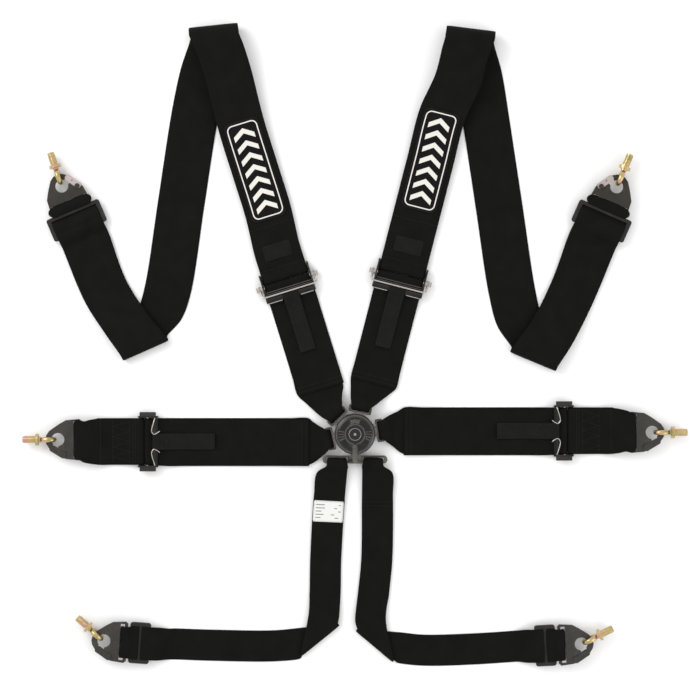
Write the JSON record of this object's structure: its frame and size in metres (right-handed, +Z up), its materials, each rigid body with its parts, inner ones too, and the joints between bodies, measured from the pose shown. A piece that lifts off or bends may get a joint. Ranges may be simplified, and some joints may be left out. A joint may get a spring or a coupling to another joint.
{
  "type": "racing harness",
  "caption": "Racing harness laid flat: rotary quick-release buckle, folded shoulder webbing, lap and crotch straps with adjusters, snap hooks and eye bolts.",
  "frame": {"origin": "centre of the rotary buckle's flat back, on the surface that the harness lies on", "axes": "+Z up out of the buckle's face, +Y towards the shoulder straps, +X towards the right lap strap as seen from above"},
  "size_m": [1.064, 1.032, 0.0315],
  "materials": {
    "webbing": "woven polyester webbing, black, slight sheen",
    "webbing_label": "short webbing pull tabs, black",
    "buckle_body": "black moulded housing",
    "knob": "black moulded knob, worn edges",
    "badge": "domed badge, dark with a red and gold motif",
    "black_steel": "black coated pressed steel",
    "bright_steel": "nickel plated steel",
    "gate_steel": "bright sprung steel",
    "yellow_zinc": "yellow passivated zinc on forged steel"
  },
  "bodies": {
    "buckle": {"buckle_base": "buckle_body", "buckle_housing": "buckle_body", "spindle_screw": "bright_steel", "housing_screws": "bright_steel", "latch_springs": "bright_steel", "tongue_shoulder_left": "bright_steel", "tongue_shoulder_right": "bright_steel", "tongue_lap_left": "bright_steel", "tongue_lap_right": "bright_steel", "crotch_plate": "bright_steel"},
    "release_knob": {"release_knob": "knob", "knob_badge": "badge", "cam_ring": "bright_steel"},
    "latch_pins": {"latch_pins": "bright_steel"},
    "strap_lap_left": {"strap_lap_left": "webbing"},
    "adjuster_lap_left": {"adjuster_lap_left": "black_steel", "load_bar_lap_left": "bright_steel", "pull_tab_lap_left": "webbing_label"},
    "anchor_strap_lap_left": {"anchor_strap_lap_left": "webbing"},
    "hook_lap_left": {"hook_lap_left": "black_steel"},
    "gate_lap_left": {"gate_lap_left": "gate_steel"},
    "eye_bolt_lap_left": {"eye_bolt_lap_left": "yellow_zinc"},
    "strap_lap_right": {"strap_lap_right": "webbing"},
    "adjuster_lap_right": {"adjuster_lap_right": "black_steel", "load_bar_lap_right": "bright_steel", "pull_tab_lap_right": "webbing_label"},
    "anchor_strap_lap_right": {"anchor_strap_lap_right": "webbing"},
    "hook_lap_right": {"hook_lap_right": "black_steel"},
    "gate_lap_right": {"gate_lap_right": "gate_steel"},
    "eye_bolt_lap_right": {"eye_bolt_lap_right": "yellow_zinc"},
    "strap_shoulder_left": {"strap_shoulder_left": "webbing"},
    "adjuster_shoulder_left": {"adjuster_shoulder_left": "black_steel", "load_bar_shoulder_left": "bright_steel", "pull_tab_shoulder_left": "webbing_label"},
    "anchor_strap_shoulder_left": {"anchor_strap_shoulder_left": "webbing", "slide_shoulder_left": "black_steel"},
    "wire_bail_shoulder_left": {"wire_bail_shoulder_left": "bright_steel"},
    "hook_shoulder_left": {"hook_shoulder_left": "black_steel"},
    "gate_shoulder_left": {"gate_shoulder_left": "gate_steel"},
    "eye_bolt_shoulder_left": {"eye_bolt_shoulder_left": "yellow_zinc"},
    "strap_shoulder_right": {"strap_shoulder_right": "webbing"},
    "adjuster_shoulder_right": {"adjuster_shoulder_right": "black_steel", "load_bar_shoulder_right": "bright_steel", "pull_tab_shoulder_right": "webbing_label"},
    "anchor_strap_shoulder_right": {"anchor_strap_shoulder_right": "webbing", "slide_shoulder_right": "black_steel"},
    "wire_bail_shoulder_right": {"wire_bail_shoulder_right": "bright_steel"},
    "hook_shoulder_right": {"hook_shoulder_right": "black_steel"},
    "gate_shoulder_right": {"gate_shoulder_right": "gate_steel"},
    "eye_bolt_shoulder_right": {"eye_bolt_shoulder_right": "yellow_zinc"},
    "strap_crotch_left": {"strap_crotch_left": "webbing", "slide_crotch_left": "black_steel"},
    "hook_crotch_left": {"hook_crotch_left": "black_steel"},
    "gate_crotch_left": {"gate_crotch_left": "gate_steel"},
    "eye_bolt_crotch_left": {"eye_bolt_crotch_left": "yellow_zinc"},
    "strap_crotch_right": {"strap_crotch_right": "webbing", "slide_crotch_right": "black_steel"},
    "hook_crotch_right": {"hook_crotch_right": "black_steel"},
    "gate_crotch_right": {"gate_crotch_right": "gate_steel"},
    "eye_bolt_crotch_right": {"eye_bolt_crotch_right": "yellow_zinc"}
  },
  "joints": [
    {"name": "release_turn", "type": "hinge", "parent": "buckle", "child": "release_knob", "pos_m": [0, 0, 0.0243], "axis": [0, 0, 1], "range_deg": [-30, 0], "stiffness_Nm_per_rad": 0.4, "springref_deg": 14.32},
    {"name": "pin_lift", "type": "slide", "parent": "buckle", "child": "latch_pins", "axis": [0, 0, 1], "range_m": [0, 0.004], "deforming": ["latch_springs"]},
    {"name": "strap_swing_lap_left", "type": "hinge", "parent": "buckle", "child": "strap_lap_left", "pos_m": [-0.0427, -0.0083, 0.01], "axis": [-0.1908, 0.9816, 0], "range_deg": [0, 60]},
    {"name": "adjuster_tilt_lap_left", "type": "hinge", "parent": "strap_lap_left", "child": "adjuster_lap_left", "pos_m": [-0.333, -0.0125, 0.0065], "axis": [0, -1, 0], "range_deg": [0, 25]},
    {"name": "anchor_strap_bend_lap_left", "type": "hinge", "parent": "adjuster_lap_left", "child": "anchor_strap_lap_left", "pos_m": [-0.344, -0.0125, 0.0065], "axis": [0, 1, 0], "range_deg": [0, 25]},
    {"name": "hook_swing_lap_left", "type": "hinge", "parent": "anchor_strap_lap_left", "child": "hook_lap_left", "pos_m": [-0.441, -0.009, 0.0135], "axis": [0, 1, 0], "range_deg": [0, 60]},
    {"name": "gate_open_lap_left", "type": "hinge", "parent": "hook_lap_left", "child": "gate_lap_left", "pos_m": [-0.466, -0.032, 0.0135], "axis": [0, 0, -1], "range_deg": [0, 10], "stiffness_Nm_per_rad": 0.05, "springref_deg": -11.46},
    {"name": "bolt_swivel_lap_left", "type": "hinge", "parent": "hook_lap_left", "child": "eye_bolt_lap_left", "pos_m": [-0.4755, -0.009, 0.0135], "axis": [0, 0, 1], "range_deg": [-20, 20]},
    {"name": "strap_swing_lap_right", "type": "hinge", "parent": "buckle", "child": "strap_lap_right", "pos_m": [0.04308, 0.00605, 0.01], "axis": [0.1392, -0.9903, 0], "range_deg": [0, 60]},
    {"name": "adjuster_tilt_lap_right", "type": "hinge", "parent": "strap_lap_right", "child": "adjuster_lap_right", "pos_m": [0.336, 0.0048, 0.0065], "axis": [0, 1, 0], "range_deg": [0, 25]},
    {"name": "anchor_strap_bend_lap_right", "type": "hinge", "parent": "adjuster_lap_right", "child": "anchor_strap_lap_right", "pos_m": [0.347, 0.0048, 0.0065], "axis": [0, -1, 0], "range_deg": [0, 25]},
    {"name": "hook_swing_lap_right", "type": "hinge", "parent": "anchor_strap_lap_right", "child": "hook_lap_right", "pos_m": [0.441, 0.0026, 0.0135], "axis": [0, -1, 0], "range_deg": [0, 60]},
    {"name": "gate_open_lap_right", "type": "hinge", "parent": "hook_lap_right", "child": "gate_lap_right", "pos_m": [0.466, -0.0204, 0.0135], "axis": [0, 0, 1], "range_deg": [0, 10], "stiffness_Nm_per_rad": 0.05, "springref_deg": -11.46},
    {"name": "bolt_swivel_lap_right", "type": "hinge", "parent": "hook_lap_right", "child": "eye_bolt_lap_right", "pos_m": [0.4755, 0.0026, 0.0135], "axis": [0, 0, 1], "range_deg": [-20, 20]},
    {"name": "strap_swing_shoulder_left", "type": "hinge", "parent": "buckle", "child": "strap_shoulder_left", "pos_m": [-0.03076, 0.03076, 0.01], "axis": [0.7071, 0.7071, 0], "range_deg": [0, 30]},
    {"name": "adjuster_tilt_shoulder_left", "type": "hinge", "parent": "strap_shoulder_left", "child": "adjuster_shoulder_left", "pos_m": [-0.109, 0.244, 0.0065], "axis": [-0.9553, -0.2957, 0], "range_deg": [0, 25]},
    {"name": "anchor_strap_bend_shoulder_left", "type": "hinge", "parent": "adjuster_shoulder_left", "child": "anchor_strap_shoulder_left", "pos_m": [-0.11237, 0.25489, 0.0065], "axis": [0.9553, 0.2957, 0], "range_deg": [0, 25]},
    {"name": "bail_lift_shoulder_left", "type": "hinge", "parent": "adjuster_shoulder_left", "child": "wire_bail_shoulder_left", "pos_m": [-0.109, 0.244, 0.0065], "axis": [-0.9553, -0.2957, 0], "range_deg": [0, 80]},
    {"name": "hook_swing_shoulder_left", "type": "hinge", "parent": "anchor_strap_shoulder_left", "child": "hook_shoulder_left", "pos_m": [-0.45577, 0.36501, 0.0135], "axis": [0.9205, 0.3907, 0], "range_deg": [0, 60]},
    {"name": "gate_open_shoulder_left", "type": "hinge", "parent": "hook_shoulder_left", "child": "gate_shoulder_left", "pos_m": [-0.44437, 0.39701, 0.0135], "axis": [0, 0, 1], "range_deg": [0, 10], "stiffness_Nm_per_rad": 0.05, "springref_deg": -11.46},
    {"name": "bolt_swivel_shoulder_left", "type": "hinge", "parent": "hook_shoulder_left", "child": "eye_bolt_shoulder_left", "pos_m": [-0.46925, 0.39677, 0.0135], "axis": [0, 0, 1], "range_deg": [-20, 20]},
    {"name": "strap_swing_shoulder_right", "type": "hinge", "parent": "buckle", "child": "strap_shoulder_right", "pos_m": [0.00904, 0.04255, 0.01], "axis": [0.9781, -0.2079, 0], "range_deg": [0, 30]},
    {"name": "adjuster_tilt_shoulder_right", "type": "hinge", "parent": "strap_shoulder_right", "child": "adjuster_shoulder_right", "pos_m": [0.073, 0.251, 0.0065], "axis": [-0.9686, 0.2487, 0], "range_deg": [0, 25]},
    {"name": "anchor_strap_bend_shoulder_right", "type": "hinge", "parent": "adjuster_shoulder_right", "child": "anchor_strap_shoulder_right", "pos_m": [0.07583, 0.26204, 0.0065], "axis": [0.9686, -0.2487, 0], "range_deg": [0, 25]},
    {"name": "bail_lift_shoulder_right", "type": "hinge", "parent": "adjuster_shoulder_right", "child": "wire_bail_shoulder_right", "pos_m": [0.073, 0.251, 0.0065], "axis": [-0.9686, 0.2487, 0], "range_deg": [0, 80]},
    {"name": "hook_swing_shoulder_right", "type": "hinge", "parent": "anchor_strap_shoulder_right", "child": "hook_shoulder_right", "pos_m": [0.40501, 0.36391, 0.0135], "axis": [0.9164, -0.4003, 0], "range_deg": [0, 60]},
    {"name": "gate_open_shoulder_right", "type": "hinge", "parent": "hook_shoulder_right", "child": "gate_shoulder_right", "pos_m": [0.39394, 0.39603, 0.0135], "axis": [0, 0, -1], "range_deg": [0, 10], "stiffness_Nm_per_rad": 0.05, "springref_deg": -11.46},
    {"name": "bolt_swivel_shoulder_right", "type": "hinge", "parent": "hook_shoulder_right", "child": "eye_bolt_shoulder_right", "pos_m": [0.41882, 0.39552, 0.0135], "axis": [0, 0, 1], "range_deg": [-20, 20]},
    {"name": "strap_swing_crotch_left", "type": "hinge", "parent": "buckle", "child": "strap_crotch_left", "pos_m": [-0.029, -0.045, 0.01], "axis": [-1, 0, 0], "range_deg": [0, 60]},
    {"name": "hook_swing_crotch_left", "type": "hinge", "parent": "strap_crotch_left", "child": "hook_crotch_left", "pos_m": [-0.36745, -0.33343, 0.0135], "axis": [0.0698, 0.9976, 0], "range_deg": [0, 60]},
    {"name": "gate_open_crotch_left", "type": "hinge", "parent": "hook_crotch_left", "child": "gate_crotch_left", "pos_m": [-0.39399, -0.35463, 0.0135], "axis": [0, 0, -1], "range_deg": [0, 10], "stiffness_Nm_per_rad": 0.05, "springref_deg": -11.46},
    {"name": "bolt_swivel_crotch_left", "type": "hinge", "parent": "hook_crotch_left", "child": "eye_bolt_crotch_left", "pos_m": [-0.40186, -0.33102, 0.0135], "axis": [0, 0, 1], "range_deg": [-20, 20]},
    {"name": "strap_swing_crotch_right", "type": "hinge", "parent": "buckle", "child": "strap_crotch_right", "pos_m": [0.029, -0.045, 0.01], "axis": [-1, 0, 0], "range_deg": [0, 60]},
    {"name": "hook_swing_crotch_right", "type": "hinge", "parent": "strap_crotch_right", "child": "hook_crotch_right", "pos_m": [0.32747, -0.33782, 0.0135], "axis": [0.0523, -0.9986, 0], "range_deg": [0, 60]},
    {"name": "gate_open_crotch_right", "type": "hinge", "parent": "hook_crotch_right", "child": "gate_crotch_right", "pos_m": [0.35364, -0.35948, 0.0135], "axis": [0, 0, 1], "range_deg": [0, 10], "stiffness_Nm_per_rad": 0.05, "springref_deg": -11.46},
    {"name": "bolt_swivel_crotch_right", "type": "hinge", "parent": "hook_crotch_right", "child": "eye_bolt_crotch_right", "pos_m": [0.36192, -0.33602, 0.0135], "axis": [0, 0, 1], "range_deg": [-20, 20]}
  ],
  "couplings": [
    {"joint": "pin_lift", "follows": "release_turn", "m_per_rad": -0.0076394},
    {"joint": "anchor_strap_bend_lap_left", "follows": "adjuster_tilt_lap_left", "ratio": 1},
    {"joint": "anchor_strap_bend_lap_right", "follows": "adjuster_tilt_lap_right", "ratio": 1},
    {"joint": "anchor_strap_bend_shoulder_left", "follows": "adjuster_tilt_shoulder_left", "ratio": 1},
    {"joint": "anchor_strap_bend_shoulder_right", "follows": "adjuster_tilt_shoulder_right", "ratio": 1}
  ]
}
